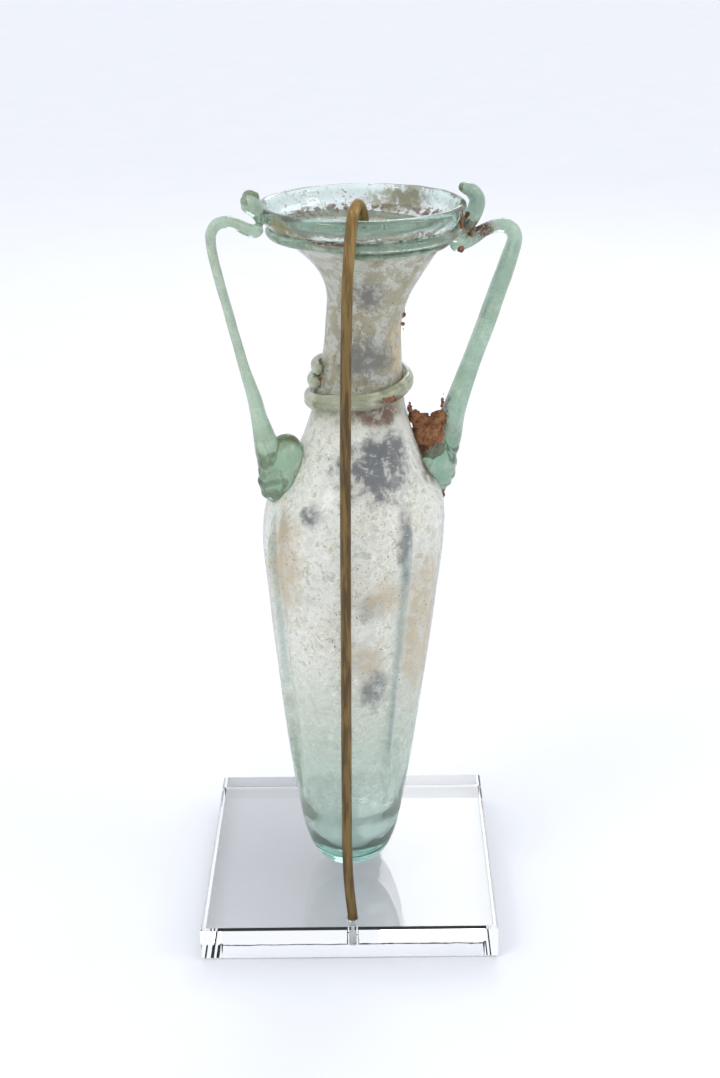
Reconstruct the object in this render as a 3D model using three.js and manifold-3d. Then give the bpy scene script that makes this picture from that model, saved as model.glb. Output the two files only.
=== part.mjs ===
import * as THREE from 'three';
import { mergeVertices } from 'three/addons/utils/BufferGeometryUtils.js';
import Module from 'manifold-3d';

// A blown glass perfume flask with two drawn handles, hung upright from a hooked
// brass rod that is set in a clear acrylic block.
// Millimetres, +Z up, -Y is the front. The origin is the middle of the block's underside.
// Azimuths are degrees round the flask: 0 is the front, 90 is the right hand, +X.

const wasm = await Module();
wasm.setup();

// ---------------------------------------------------------------- driving sizes

const fitGap = 0.3; // left between pieces that touch

const block = { side: 80, height: 9.8, chamfer: 0.6 };
const rod = { radius: 1.35, footX: 0.9, footY: -35, holeDepth: 7, sides: 10, steps: 42 };

const flaskPlace = { x: -0.2, y: -5, z: block.height + fitGap };
const leanPerHeight = 0.0326; // the flask was blown crooked: it leans to the right as it rises

// The vessel's outer wall from the foot to under the lip, as [radius, height above the foot].
const outline = [
  [0, 0], [5.4, 0.9], [10, 4.1], [12.7, 10.5], [15.4, 25], [18.8, 50], [22.1, 80], [23.9, 103],
  [22.4, 112], [18.4, 118.4], [14.5, 127], [11.9, 135.5], [10.2, 148], [9.7, 158], [10.9, 165.6],
  [14.8, 172.7], [20, 178.4], [24.1, 182.6],
];
const lip = { radius: 25.7, innerRadius: 23.2, under: 184.6, top: 187.3, roll: 1.25 };
const wall = { body: 1.5, neck: 1.4, neckFrom: 140 };
// The thick glass of the foot, inside, as [radius, height above the foot].
const innerFloor = [[11.9, 15], [9.9, 9.4], [6, 5.6], [0, 4.6]];
const floorFrom = 20;
const vesselFacets = 44;
const wallRows = 26;

// How far the vessel's middle wanders sideways from its leaning axis, as [shift, height].
const wander = [[0.3, 0], [-0.3, 50], [-0.6, 95], [0.3, 132], [0.9, 155], [2.9, 171], [0, 186], [0, 190]];

// Four pinched ridges run down the body, each in a shallow trough.
const ridge = {
  azimuths: [36, 124, 212, 298],
  lift: 1.1, halfWidth: 3.2,
  troughDepth: 1.2, troughHalfWidth: 13,
  from: 22, full: 44, fade: 100, to: 110,
  crowding: 0.62, // draws the wall's facets together at the ridges
};

const mouthTrail = { turns: 1.3, startAzimuth: -15, radius: 1.25, thinRadius: 0.75, low: 177.9, high: 180.6 };
const neckTrail = {
  startAzimuth: -62, turns: 1.42, reach: 1.3, halfHeight: 2.1, halfThickness: 1.5,
  heights: [[146.2, 0], [145.2, 0.3], [142, 0.58], [139.7, 0.83], [137.5, 1.08], [137, 1.42]],
  stub: { height: 142.4, sweep: 70, radius: 1.6 },
};

// Each handle is given in its own upright plane. Stations are [reach from the axis, height above
// the foot, half the thickness in the plane]; breadth is the half-width across over that.
const leftHandle = {
  azimuth: -72, breadth: 1.2,
  leg: [
    [21.2, 116, 2.6], [23.2, 123, 3.3], [24.6, 129, 2.9], [25.9, 134, 2.2], [27.3, 140, 1.85],
    [29.8, 148, 1.4], [33.6, 162.2, 1.2], [35.8, 170.5, 1.2], [37.8, 179.7, 1.3], [37.7, 182.3, 1.4],
    [36.1, 184.4, 1.45], [33.5, 184.7, 1.5], [31, 183.8, 1.5], [28.9, 182.6, 1.6], [26.8, 182, 1.6],
    [25.1, 183.1, 1.4],
  ],
  thumb: [
    [24.9, 183.4, 1.2], [26, 186, 1.7], [27.6, 188.3, 2.4], [29.3, 189.4, 2.2], [30.4, 189.7, 1.5],
  ],
  fold: [[26, 189.3, 1.4], [27.7, 190.3, 1.6], [29.9, 189.9, 1.7]],
  thumbBreadth: 1.15,
  pad: { reach: 20.4, height: 120.6, halfDepth: 5.7, halfWidth: 5, halfHeight: 9.2, tilt: 14 },
};
const rightHandle = {
  azimuth: 100, breadth: 1.15,
  leg: [
    [22.4, 116, 2.6], [24, 123, 3.2], [25.2, 131.6, 3.1], [26.5, 136, 2.8], [29.1, 144, 2.5],
    [32.2, 153, 2.45], [35.2, 162.5, 2.35], [37.9, 171, 2.2], [39.2, 176.3, 1.95], [38.4, 178.3, 1.85],
    [36.4, 179.6, 1.8], [34, 179.5, 1.7], [31.2, 178.6, 1.7], [28.3, 176.9, 1.8], [25.3, 175.5, 1.8],
    [22.6, 175.6, 1.6],
  ],
  thumb: [
    [22.9, 176, 1.6], [25.7, 179.3, 2], [28.3, 182.9, 2.1], [29.1, 186.1, 2], [27.6, 188.5, 1.8],
    [25.4, 189.4, 1.4], [24.2, 189.2, 1],
  ],
  fold: null,
  thumbBreadth: 1.35,
  pad: { reach: 20.8, height: 119.6, halfDepth: 5.6, halfWidth: 5.4, halfHeight: 9.6, tilt: 10 },
};

// A lump of burial earth lodged between the right handle and the shoulder.
const earth = { reach: 18.4, height: 126.6, azimuth: 95, half: [4.4, 4, 5], roughness: 0.9 };

// The rod's middle line above the block, as [x, y, z].
const rodLine = [
  [0.9, -35, 3.1], [0.9, -35, 9.8], [0.2, -34.6, 18], [-0.2, -34.3, 28], [-0.1, -34, 45],
  [0.6, -33.6, 95], [1.2, -33.3, 136], [2, -32.9, 169.3], [2.7, -32.6, 186], [3.6, -32.45, 196],
  [4.3, -31.7, 199.9], [5.2, -29.5, 201.2], [6, -27.2, 199.6], [6.4, -26.2, 197], [6.5, -26.1, 195.2],
];

// ---------------------------------------------------------------- materials

const glassLook = (color, roughness) => new THREE.MeshStandardMaterial({ color, roughness, metalness: 0 });
const looks = {
  vessel: glassLook(0xd6dcd2, 0.45),
  trail: glassLook(0x93ab93, 0.25),
  handle: glassLook(0x9cc0ab, 0.2),
  brass: new THREE.MeshStandardMaterial({ color: 0x6b5326, roughness: 0.45, metalness: 0.9 }),
  acrylic: glassLook(0xf0f3f4, 0.05),
  earth: new THREE.MeshStandardMaterial({ color: 0x80513a, roughness: 1, metalness: 0 }),
};

// ---------------------------------------------------------------- helpers

const radians = THREE.MathUtils.degToRad;
const { clamp, lerp, smoothstep } = THREE.MathUtils;

/** A smooth curve through stations of two or three numbers. */
function curveThrough(stations) {
  const points = stations.map(([x, y, z = 0]) => new THREE.Vector3(x, y, z));
  return new THREE.CatmullRomCurve3(points, false, 'centripetal');
}

/** Reads a value between stations of [value, place], eased from one to the next. */
function valueAt(stations, place) {
  const next = stations.findIndex(([, mark]) => mark >= place);
  if (next === 0) return stations[0][0];
  if (next < 0) return stations.at(-1)[0];
  const [before, start] = stations[next - 1];
  const [after, end] = stations[next];
  return lerp(before, after, smoothstep(place, start, end));
}

/** Moves every vertex of a geometry by a function that changes the point it is given. */
function reshape(geometry, change) {
  const position = geometry.attributes.position;
  const point = new THREE.Vector3();
  for (let i = 0; i < position.count; i += 1) {
    point.fromBufferAttribute(position, i);
    change(point, i);
    position.setXYZ(i, point.x, point.y, point.z);
  }
  return geometry;
}

/** Makes a closed geometry a solid for joining and cutting. */
function solidOf(geometry) {
  const bare = geometry.clone();
  bare.deleteAttribute('normal');
  bare.deleteAttribute('uv');
  const merged = mergeVertices(bare, 1e-3);
  const vertProperties = new Float32Array(merged.attributes.position.array);
  const triVerts = new Uint32Array(merged.index.array);
  return new wasm.Manifold(new wasm.Mesh({ numProp: 3, vertProperties, triVerts }));
}

/** Turns a solid back into a geometry. */
function geometryOf(solid) {
  const mesh = solid.getMesh();
  const geometry = new THREE.BufferGeometry();
  geometry.setAttribute('position', new THREE.BufferAttribute(mesh.vertProperties, 3));
  geometry.setIndex(new THREE.BufferAttribute(mesh.triVerts, 1));
  return geometry;
}

/** Leans a piece of the flask over and sets it on the block. */
function place(geometry) {
  reshape(geometry, (point) => {
    point.x += leanPerHeight * point.z;
  });
  return geometry.translate(flaskPlace.x, flaskPlace.y, flaskPlace.z);
}

function namedMesh(name, geometry, material) {
  const mesh = new THREE.Mesh(geometry, material);
  mesh.name = name;
  return mesh;
}

/**
 * A drawn strand of glass or metal with rounded ends, bent along a curve.
 * sideAt gives the direction of the section's first half-size, halfAt both half-sizes.
 */
function strand(curve, sideAt, halfAt, sides, steps) {
  const geometry = new THREE.CapsuleGeometry(1, 1, 2, sides, steps);
  const up = new THREE.Vector3();
  return reshape(geometry, (point) => {
    const along = clamp(point.y + 0.5, 0, 1);
    const pastEnd = point.y + 0.5 - along;
    const tangent = curve.getTangentAt(along);
    const side = sideAt(along, curve);
    side.addScaledVector(tangent, -side.dot(tangent)).normalize();
    up.crossVectors(tangent, side);
    const [halfSide, halfUp] = halfAt(along);
    const { x, z } = point;
    point.copy(curve.getPointAt(along));
    point.addScaledVector(side, x * halfSide);
    point.addScaledVector(up, -z * halfUp);
    point.addScaledVector(tangent, pastEnd * Math.min(halfSide, halfUp));
  });
}

// ---------------------------------------------------------------- the vessel

/** The vessel's sideways wander at a height. */
function wanderAt(height) {
  return valueAt(wander, height);
}

/** How far the wall stands out or in at an azimuth and height, for the ridges and their troughs. */
function ridgeRelief(azimuth, height, withCrest) {
  const strength = smoothstep(height, ridge.from, ridge.full) - smoothstep(height, ridge.fade, ridge.to);
  const away = Math.min(...ridge.azimuths.map((at) => {
    const turn = Math.abs(azimuth - at) % 360;
    return Math.min(turn, 360 - turn);
  }));
  const trough = ridge.troughDepth * Math.exp(-((away / ridge.troughHalfWidth) ** 2));
  const crest = withCrest ? (ridge.lift + ridge.troughDepth) * Math.exp(-((away / ridge.halfWidth) ** 2)) : 0;
  return strength * (crest - trough);
}

/** Azimuth of one of the wall's facet lines, crowded together at the ridges. */
function facetAzimuth(index) {
  const perPanel = vesselFacets / ridge.azimuths.length;
  const panel = Math.floor(index / perPanel) % ridge.azimuths.length;
  const across = (index % perPanel) / perPanel;
  const start = ridge.azimuths[panel];
  const end = panel + 1 < ridge.azimuths.length ? ridge.azimuths[panel + 1] : ridge.azimuths[0] + 360;
  const crowded = across - (ridge.crowding * Math.sin(2 * Math.PI * across)) / (2 * Math.PI);
  return lerp(start, end, crowded);
}

/**
 * Turns a profile of [radius, height] round the flask's wandering middle.
 * The first outerCount points are the outer wall, which carries the ridges' crests.
 */
function turned(profile, outerCount) {
  const lathe = new THREE.LatheGeometry(profile, vesselFacets);
  lathe.rotateX(Math.PI / 2);
  return reshape(lathe, (point, i) => {
    const azimuth = facetAzimuth(Math.floor(i / profile.length));
    const onOuter = i % profile.length < outerCount;
    const radius = Math.hypot(point.x, point.y);
    const shaped = radius > 1 ? radius + ridgeRelief(azimuth, point.z, onOuter) : radius;
    point.x = shaped * Math.sin(radians(azimuth)) + wanderAt(point.z);
    point.y = -shaped * Math.cos(radians(azimuth));
  });
}

/** The outer wall from foot to under the lip. */
function outerWall(swell = 0) {
  const points = curveThrough(outline).getPoints(wallRows);
  return points.map(({ x, y }) => new THREE.Vector2(x > 0.5 ? x + swell : 0, y - (x > 0.5 ? 0 : swell)));
}

/** The rounded lip, from its outer underside over the top to its inner edge. */
function lipRound() {
  const middle = new THREE.Vector2(lip.radius - lip.roll, lip.top - lip.roll);
  const points = [new THREE.Vector2(lip.radius - 0.2, lip.under)];
  for (let quarter = 0; quarter <= 4; quarter += 1) {
    const angle = (quarter / 4) * Math.PI;
    points.push(new THREE.Vector2(
      middle.x + lip.roll * Math.cos(angle),
      middle.y + lip.roll * Math.sin(angle),
    ));
  }
  return points;
}

/** The inner wall from under the lip down to the thick foot, with half the outer wall's rows. */
function innerWall() {
  const rows = outerWall().filter(({ y }, i) => y > floorFrom && i % 2 === wallRows % 2).reverse();
  const inside = rows.map(({ x, y }) => {
    const thickness = y < wall.neckFrom ? wall.body : wall.neck;
    return new THREE.Vector2(x - thickness, y);
  });
  return inside.concat(innerFloor.map(([x, y]) => new THREE.Vector2(x, y)));
}

function vesselGeometry() {
  const outer = outerWall();
  return turned([...outer, ...lipRound(), ...innerWall()], outer.length);
}

/** The vessel filled in and swollen by the gap, to cut what is laid on it. */
function vesselEnvelope() {
  const outer = outerWall(fitGap);
  const top = new THREE.Vector2(lip.radius + fitGap, lip.top + fitGap);
  const under = new THREE.Vector2(lip.radius + fitGap, lip.under - fitGap);
  return solidOf(turned([...outer, under, top, new THREE.Vector2(0, top.y)], outer.length));
}

/** The outer wall's radius at a height. */
function wallRadius(height) {
  const rows = outerWall();
  const next = rows.findIndex(({ y }) => y >= height);
  const share = (height - rows[next - 1].y) / (rows[next].y - rows[next - 1].y);
  return lerp(rows[next - 1].x, rows[next].x, share);
}

// ---------------------------------------------------------------- trails

/** A strand wound round the vessel: heightAt and halfAt read a share of its length. */
function woundStrand(startAzimuth, sweep, heightAt, standOff, halfAt, sides, steps) {
  const points = [];
  for (let i = 0; i <= steps; i += 1) {
    const share = i / steps;
    const height = heightAt(share);
    const reach = wallRadius(height) + standOff(share);
    const angle = radians(startAzimuth + sweep * share);
    points.push(new THREE.Vector3(
      reach * Math.sin(angle) + wanderAt(height),
      -reach * Math.cos(angle),
      height,
    ));
  }
  const curve = new THREE.CatmullRomCurve3(points);
  const outward = (along) => {
    const point = curve.getPointAt(along);
    return new THREE.Vector3(point.x - wanderAt(point.z), point.y, 0);
  };
  return strand(curve, outward, halfAt, sides, steps);
}

/** The coil under the lip: it starts thin at the front, then climbs over its own start. */
function mouthTrailSolid(swell = 0) {
  const sweep = 360 * mouthTrail.turns;
  const radiusAt = (share) => lerp(mouthTrail.thinRadius, mouthTrail.radius, smoothstep(share, 0.1, 0.5));
  const heightAt = (share) => lerp(mouthTrail.low, mouthTrail.high, smoothstep(share, 0.18, 0.62));
  const halfAt = (share) => [radiusAt(share) + swell, radiusAt(share) + swell];
  const standOff = (share) => radiusAt(share) * 0.85;
  return solidOf(woundStrand(mouthTrail.startAzimuth, sweep, heightAt, standOff, halfAt, 6, 42));
}

/** The trail round the neck, with the pinched-off end beside its start. */
function neckTrailSolid() {
  const { startAzimuth, turns, reach, halfHeight, halfThickness, heights, stub } = neckTrail;
  const heightAt = (share) => valueAt(heights, share * turns);
  const halfAt = (share) => {
    const grow = lerp(0.75, 1, smoothstep(share, 0, 0.3)) * lerp(1, 0.6, smoothstep(share, 0.85, 1));
    return [halfThickness * grow, halfHeight * grow];
  };
  const main = woundStrand(startAzimuth, -360 * turns, heightAt, () => reach, halfAt, 8, 34);
  const roundHalf = () => [stub.radius, stub.radius];
  const tail = woundStrand(startAzimuth - 3, -stub.sweep, () => stub.height, () => reach, roundHalf, 6, 4);
  return solidOf(main).add(solidOf(tail));
}

// ---------------------------------------------------------------- handles

/** One strand of a handle, drawn in the plane y = 0. */
function handleStrand(stations, breadth, swell, sides, steps) {
  const curve = curveThrough(stations.map(([reach, height]) => [reach, 0, height]));
  const halves = curveThrough(stations.map(([, , half], i) => [half, i]));
  const across = () => new THREE.Vector3(0, 1, 0);
  const halfAt = (share) => {
    const half = halves.getPoint(curve.getUtoTmapping(share)).x;
    return [half * breadth + swell, half + swell];
  };
  return solidOf(strand(curve, across, halfAt, sides, steps));
}

/** A whole handle, with its pad on the shoulder and its folded thumb-piece at the lip. */
function handleSolid(handle, swell = 0) {
  const { azimuth, breadth, leg, thumb, fold, thumbBreadth, pad } = handle;
  let solid = handleStrand(leg, breadth, swell, 8, 26);
  solid = solid.add(handleStrand(thumb, thumbBreadth, swell, 8, 7));
  if (fold) solid = solid.add(handleStrand(fold, thumbBreadth, swell, 8, 4));
  const padGeometry = new THREE.SphereGeometry(1, 12, 9);
  padGeometry.scale(pad.halfDepth + swell, pad.halfWidth + swell, pad.halfHeight + swell);
  padGeometry.rotateY(radians(-pad.tilt));
  padGeometry.translate(pad.reach, 0, pad.height);
  solid = solid.add(solidOf(padGeometry));
  return solid.rotate([0, 0, azimuth - 90]);
}

/** A handle cut to lie on the vessel and against the coil under the lip. */
function fittedHandle(handle, envelope) {
  return handleSolid(handle).subtract(envelope).subtract(mouthTrailSolid(fitGap));
}

// ---------------------------------------------------------------- earth

/** The lump of earth: a ball roughened by a few waves, cut by what it clings to. */
function earthSolid(envelope) {
  const ball = new THREE.IcosahedronGeometry(1, 3);
  const [halfX, halfY, halfZ] = earth.half;
  reshape(ball, (point) => {
    const { x, y, z } = point;
    const waves = Math.sin(5 * x + 2 * z) + Math.sin(7 * y - 3 * x) + Math.sin(6 * z + 4 * y);
    point.set(x * halfX, y * halfY, z * halfZ);
    point.addScaledVector(new THREE.Vector3(x, y, z), (earth.roughness * waves) / 3);
    point.x += earth.reach;
    point.z += earth.height;
  });
  return solidOf(ball)
    .rotate([0, 0, earth.azimuth - 90])
    .subtract(envelope)
    .subtract(handleSolid(rightHandle, fitGap));
}

// ---------------------------------------------------------------- the stand

/** The acrylic block with chamfered edges and the blind hole for the rod. */
function blockGeometry() {
  const half = block.side / 2 - block.chamfer;
  const square = new THREE.Shape([
    new THREE.Vector2(-half, -half), new THREE.Vector2(half, -half),
    new THREE.Vector2(half, half), new THREE.Vector2(-half, half),
  ]);
  const slab = new THREE.ExtrudeGeometry(square, {
    depth: block.height - 2 * block.chamfer,
    bevelThickness: block.chamfer,
    bevelSize: block.chamfer,
    bevelSegments: 1,
  });
  slab.translate(0, 0, block.chamfer);
  const drill = new THREE.CylinderGeometry(rod.radius + fitGap, rod.radius + fitGap, 2 * rod.holeDepth, 20);
  drill.rotateX(Math.PI / 2);
  drill.translate(rod.footX, rod.footY, block.height);
  return geometryOf(solidOf(slab).subtract(solidOf(drill)));
}

/** The rod, hooked over the front of the lip. */
function rodGeometry() {
  const section = new THREE.Shape();
  section.absarc(0, 0, rod.radius, 0, 2 * Math.PI);
  const line = curveThrough(rodLine);
  line.getUtoTmapping = (share) => share; // steps follow the stations, which crowd in the hook
  return new THREE.ExtrudeGeometry(section, {
    steps: rod.steps,
    curveSegments: rod.sides / 2,
    extrudePath: line,
  });
}

// ---------------------------------------------------------------- assembly

const envelope = vesselEnvelope();
const flask = new THREE.Group();
flask.add(
  namedMesh('flask_vessel', place(vesselGeometry()), looks.vessel),
  namedMesh('mouth_trail', place(geometryOf(mouthTrailSolid().subtract(envelope))), looks.trail),
  namedMesh('neck_trail', place(geometryOf(neckTrailSolid().subtract(envelope))), looks.trail),
  namedMesh('left_handle', place(geometryOf(fittedHandle(leftHandle, envelope))), looks.handle),
  namedMesh('right_handle', place(geometryOf(fittedHandle(rightHandle, envelope))), looks.handle),
  namedMesh('earth_lump', place(geometryOf(earthSolid(envelope))), looks.earth),
);

const stand = new THREE.Group();
stand.add(
  namedMesh('acrylic_block', blockGeometry(), looks.acrylic),
  namedMesh('hook_rod', rodGeometry(), looks.brass),
);

const object = new THREE.Group();
object.add(stand, flask);

export default object;
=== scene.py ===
"""Dresses a blown glass perfume flask that stands on a clear block, held by a brass hook.

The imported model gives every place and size. The vessel, its trails, its handles, the rod and
the burial earth are built again here as fine meshes around it, and each gets its own finish.
Lengths inside the classes are millimetres, counted from the flask's foot or the block's
underside; MM turns them into Blender's metres. Azimuths are degrees round the flask: 0 is the
front, 90 the right hand.
"""

import logging
import math
from dataclasses import dataclass
from enum import Enum
from typing import Callable, Iterable, Sequence

import bmesh
import bpy
import numpy as np
from mathutils import Matrix, Vector, noise


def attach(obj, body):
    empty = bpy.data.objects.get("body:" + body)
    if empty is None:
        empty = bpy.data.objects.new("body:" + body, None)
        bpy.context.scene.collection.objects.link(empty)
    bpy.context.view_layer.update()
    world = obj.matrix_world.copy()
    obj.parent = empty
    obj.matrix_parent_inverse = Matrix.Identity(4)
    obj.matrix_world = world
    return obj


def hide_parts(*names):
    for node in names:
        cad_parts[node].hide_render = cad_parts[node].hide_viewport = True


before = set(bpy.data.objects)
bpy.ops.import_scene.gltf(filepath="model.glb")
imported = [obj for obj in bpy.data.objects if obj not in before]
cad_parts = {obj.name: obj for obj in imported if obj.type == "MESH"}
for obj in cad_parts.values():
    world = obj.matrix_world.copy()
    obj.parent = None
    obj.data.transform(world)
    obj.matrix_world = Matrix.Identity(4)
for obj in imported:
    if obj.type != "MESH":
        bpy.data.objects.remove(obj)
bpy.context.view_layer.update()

MM = 0.001
BODY = "root"
GLASS_IOR = 1.5
ACRYLIC_IOR = 1.49
LOG = logging.getLogger("flask")


# ------------------------------------------------------------------ curves and numbers

def smoothstep(value: np.ndarray | float, low: float, high: float) -> np.ndarray | float:
    """Ease from 0 at low to 1 at high."""
    share = np.clip((np.asarray(value, dtype=float) - low) / (high - low), 0.0, 1.0)
    return share * share * (3.0 - 2.0 * share)


def rounded_curve(stations: Sequence[Sequence[float]], per_span: int) -> np.ndarray:
    """Draw a centripetal Catmull-Rom curve through stations.

    Args:
        stations: Points of any dimension, in order.
        per_span: How many steps to take between two stations.

    Returns:
        The points of the curve, one row each.
    """
    knots = np.asarray(stations, dtype=float)
    first = 2 * knots[0] - knots[1]
    last = 2 * knots[-1] - knots[-2]
    padded = np.vstack([first, knots, last])
    rows = []
    for i in range(len(knots) - 1):
        p0, p1, p2, p3 = padded[i:i + 4]
        gaps = [max(np.linalg.norm(b - a), 1e-6) ** 0.5 for a, b in ((p0, p1), (p1, p2), (p2, p3))]
        slope_1 = (p1 - p0) / gaps[0] - (p2 - p0) / (gaps[0] + gaps[1]) + (p2 - p1) / gaps[1]
        slope_2 = (p2 - p1) / gaps[1] - (p3 - p1) / (gaps[1] + gaps[2]) + (p3 - p2) / gaps[2]
        slope_1, slope_2 = slope_1 * gaps[1], slope_2 * gaps[1]
        for step in range(per_span):
            t = step / per_span
            rows.append(
                (2 * t**3 - 3 * t**2 + 1) * p1 + (t**3 - 2 * t**2 + t) * slope_1
                + (3 * t**2 - 2 * t**3) * p2 + (t**3 - t**2) * slope_2
            )
    rows.append(knots[-1])
    return np.array(rows)


def waves(points: np.ndarray, size: float, seed: float = 0.0) -> np.ndarray:
    """Give smooth noise from -1 to 1 at each point, with humps about size across."""
    shift = Vector((seed, 2.3 * seed, -1.7 * seed))
    return np.array([noise.noise(Vector(point) / size + shift) for point in points])


# ------------------------------------------------------------------ meshes

def mesh_piece(name: str, vertices: np.ndarray, faces: Sequence[Sequence[int]]) -> bpy.types.Object:
    """Make a smooth-shaded object with its faces pointing out.

    Args:
        name: The piece's name.
        vertices: Points in millimetres.
        faces: Vertex numbers of each face.

    Returns:
        The new object, linked to the scene.
    """
    mesh = bpy.data.meshes.new(name)
    mesh.from_pydata((np.asarray(vertices) * MM).tolist(), [], [list(face) for face in faces])
    work = bmesh.new()
    work.from_mesh(mesh)
    bmesh.ops.recalc_face_normals(work, faces=work.faces)
    work.to_mesh(mesh)
    work.free()
    mesh.shade_smooth()
    piece = bpy.data.objects.new(name, mesh)
    bpy.context.scene.collection.objects.link(piece)
    return piece


def skin(rings: np.ndarray, start: Sequence[float], end: Sequence[float]) -> tuple[np.ndarray, list]:
    """Close a stack of rings with a tip at each end.

    Args:
        rings: Array of rings, points and coordinates.
        start: The tip before the first ring.
        end: The tip after the last ring.

    Returns:
        The vertices and the faces.
    """
    count, around = rings.shape[:2]
    vertices = np.vstack([rings.reshape(-1, 3), [start], [end]])
    tip_start, tip_end = count * around, count * around + 1
    faces = []
    for j in range(around):
        k = (j + 1) % around
        faces.append((tip_start, k, j))
        faces.append((tip_end, (count - 1) * around + j, (count - 1) * around + k))
        for i in range(count - 1):
            faces.append((i * around + j, i * around + k, (i + 1) * around + k, (i + 1) * around + j))
    return vertices, faces


def strand(
    line: np.ndarray,
    sides: np.ndarray,
    halves: np.ndarray,
    around: int,
    relief: Callable[[float, float], float] | None = None,
) -> tuple[np.ndarray, list]:
    """Sweep an oval section with rounded ends along a line.

    Args:
        line: The points of the middle line.
        sides: At each point, the direction of the section's first half-size.
        halves: At each point, the two half-sizes.
        around: How many points go round the section.
        relief: Extra radius from the share along the line and the angle round it.

    Returns:
        The vertices and the faces.
    """
    tangents = np.gradient(line, axis=0)
    tangents /= np.linalg.norm(tangents, axis=1)[:, None]
    across = sides - (sides * tangents).sum(1)[:, None] * tangents
    across /= np.linalg.norm(across, axis=1)[:, None]
    up = np.cross(tangents, across)
    length = np.concatenate([[0.0], np.cumsum(np.linalg.norm(np.diff(line, axis=0), axis=1))])
    cap = np.maximum(halves.min(axis=1), 1e-3)
    from_start = np.clip(length / cap[0], 0.0, 1.0)
    from_end = np.clip((length[-1] - length) / cap[-1], 0.0, 1.0)
    rounding = np.sqrt(1 - (1 - from_start) ** 2) * np.sqrt(1 - (1 - from_end) ** 2)
    angles = np.linspace(0, 2 * math.pi, around, endpoint=False)
    rings = []
    for i in range(1, len(line) - 1):
        share = length[i] / length[-1]
        extra = np.array([relief(share, a) if relief else 0.0 for a in angles])
        swell = (1 + extra) * rounding[i]
        rings.append(
            line[i]
            + np.outer(np.cos(angles) * halves[i, 0] * swell, across[i])
            + np.outer(np.sin(angles) * halves[i, 1] * swell, up[i])
        )
    return skin(np.array(rings), line[0], line[-1])


def joined(parts: Iterable[tuple[np.ndarray, list]]) -> tuple[np.ndarray, list]:
    """Put several vertex and face lists into one."""
    vertices, faces, offset = [], [], 0
    for points, polygons in parts:
        vertices.append(points)
        faces.extend([tuple(index + offset for index in face) for face in polygons])
        offset += len(points)
    return np.vstack(vertices), faces


def melted(piece: bpy.types.Object, voxel: float, smoothing: int) -> bpy.types.Object:
    """Fuse a piece's overlapping bodies into one smooth skin.

    Args:
        piece: The piece, changed in place.
        voxel: The size of the new facets in millimetres.
        smoothing: How many smoothing passes follow.

    Returns:
        The same piece.
    """
    remesh = piece.modifiers.new("melt", "REMESH")
    remesh.mode = "VOXEL"
    remesh.voxel_size = voxel * MM
    remesh.use_smooth_shade = True
    smooth = piece.modifiers.new("smooth", "SMOOTH")
    smooth.factor = 0.6
    smooth.iterations = smoothing
    applied = bpy.data.meshes.new_from_object(piece.evaluated_get(bpy.context.evaluated_depsgraph_get()))
    piece.modifiers.clear()
    piece.data = applied
    piece.data.shade_smooth()
    return piece


def pushed(piece: bpy.types.Object, height: Callable[[np.ndarray, np.ndarray], np.ndarray]) -> None:
    """Move each vertex along its normal by a height in millimetres, from its place and normal."""
    mesh = piece.data
    count = len(mesh.vertices)
    places = np.empty(count * 3)
    normals = np.empty(count * 3)
    mesh.vertices.foreach_get("co", places)
    mesh.vertices.foreach_get("normal", normals)
    places, normals = places.reshape(-1, 3), normals.reshape(-1, 3)
    moved = places + normals * (height(places / MM, normals) * MM)[:, None]
    mesh.vertices.foreach_set("co", moved.ravel())
    mesh.update()


def dress(piece: bpy.types.Object, material: bpy.types.Material, slot: str, *nodes: str) -> None:
    """Give a piece its finish and the CAD nodes that it stands for."""
    piece.data.materials.clear()
    piece.data.materials.append(material)
    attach(piece, BODY)
    if nodes:
        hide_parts(*nodes)
    LOG.info("%s: %d faces, %s", piece.name, len(piece.data.polygons), material.name)


# ------------------------------------------------------------------ shader maths

class Signal:
    """One socket of a shader, which can be added, multiplied and compared like a number."""

    def __init__(self, bench: "Bench", socket: bpy.types.NodeSocket) -> None:
        """Keep the socket and the bench it is on."""
        self.bench = bench
        self.socket = socket

    def __add__(self, other: "Signal | float") -> "Signal":
        """Add."""
        return self.bench.maths("ADD", self, other)

    def __radd__(self, other: float) -> "Signal":
        """Add to a number."""
        return self.bench.maths("ADD", other, self)

    def __sub__(self, other: "Signal | float") -> "Signal":
        """Subtract."""
        return self.bench.maths("SUBTRACT", self, other)

    def __rsub__(self, other: float) -> "Signal":
        """Subtract from a number."""
        return self.bench.maths("SUBTRACT", other, self)

    def __mul__(self, other: "Signal | float") -> "Signal":
        """Multiply."""
        return self.bench.maths("MULTIPLY", self, other)

    def __rmul__(self, other: float) -> "Signal":
        """Multiply a number."""
        return self.bench.maths("MULTIPLY", other, self)

    def __or__(self, other: "Signal | float") -> "Signal":
        """Take the larger."""
        return self.bench.maths("MAXIMUM", self, other)

    def between(self, low: float, high: float, start: float = 0.0, end: float = 1.0) -> "Signal":
        """Ease from start at low to end at high.

        Args:
            low: The value that gives start.
            high: The value that gives end.
            start: The result at low and before it.
            end: The result at high and past it.

        Returns:
            The eased signal.
        """
        falling = high < low
        settings = {"interpolation_type": "SMOOTHSTEP"}
        sockets = {
            "Value": self,
            "From Min": high if falling else low,
            "From Max": low if falling else high,
            "To Min": end if falling else start,
            "To Max": start if falling else end,
        }
        return self.bench.node("ShaderNodeMapRange", settings, sockets, "Result")


Link = Signal | float | Sequence[float]


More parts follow.
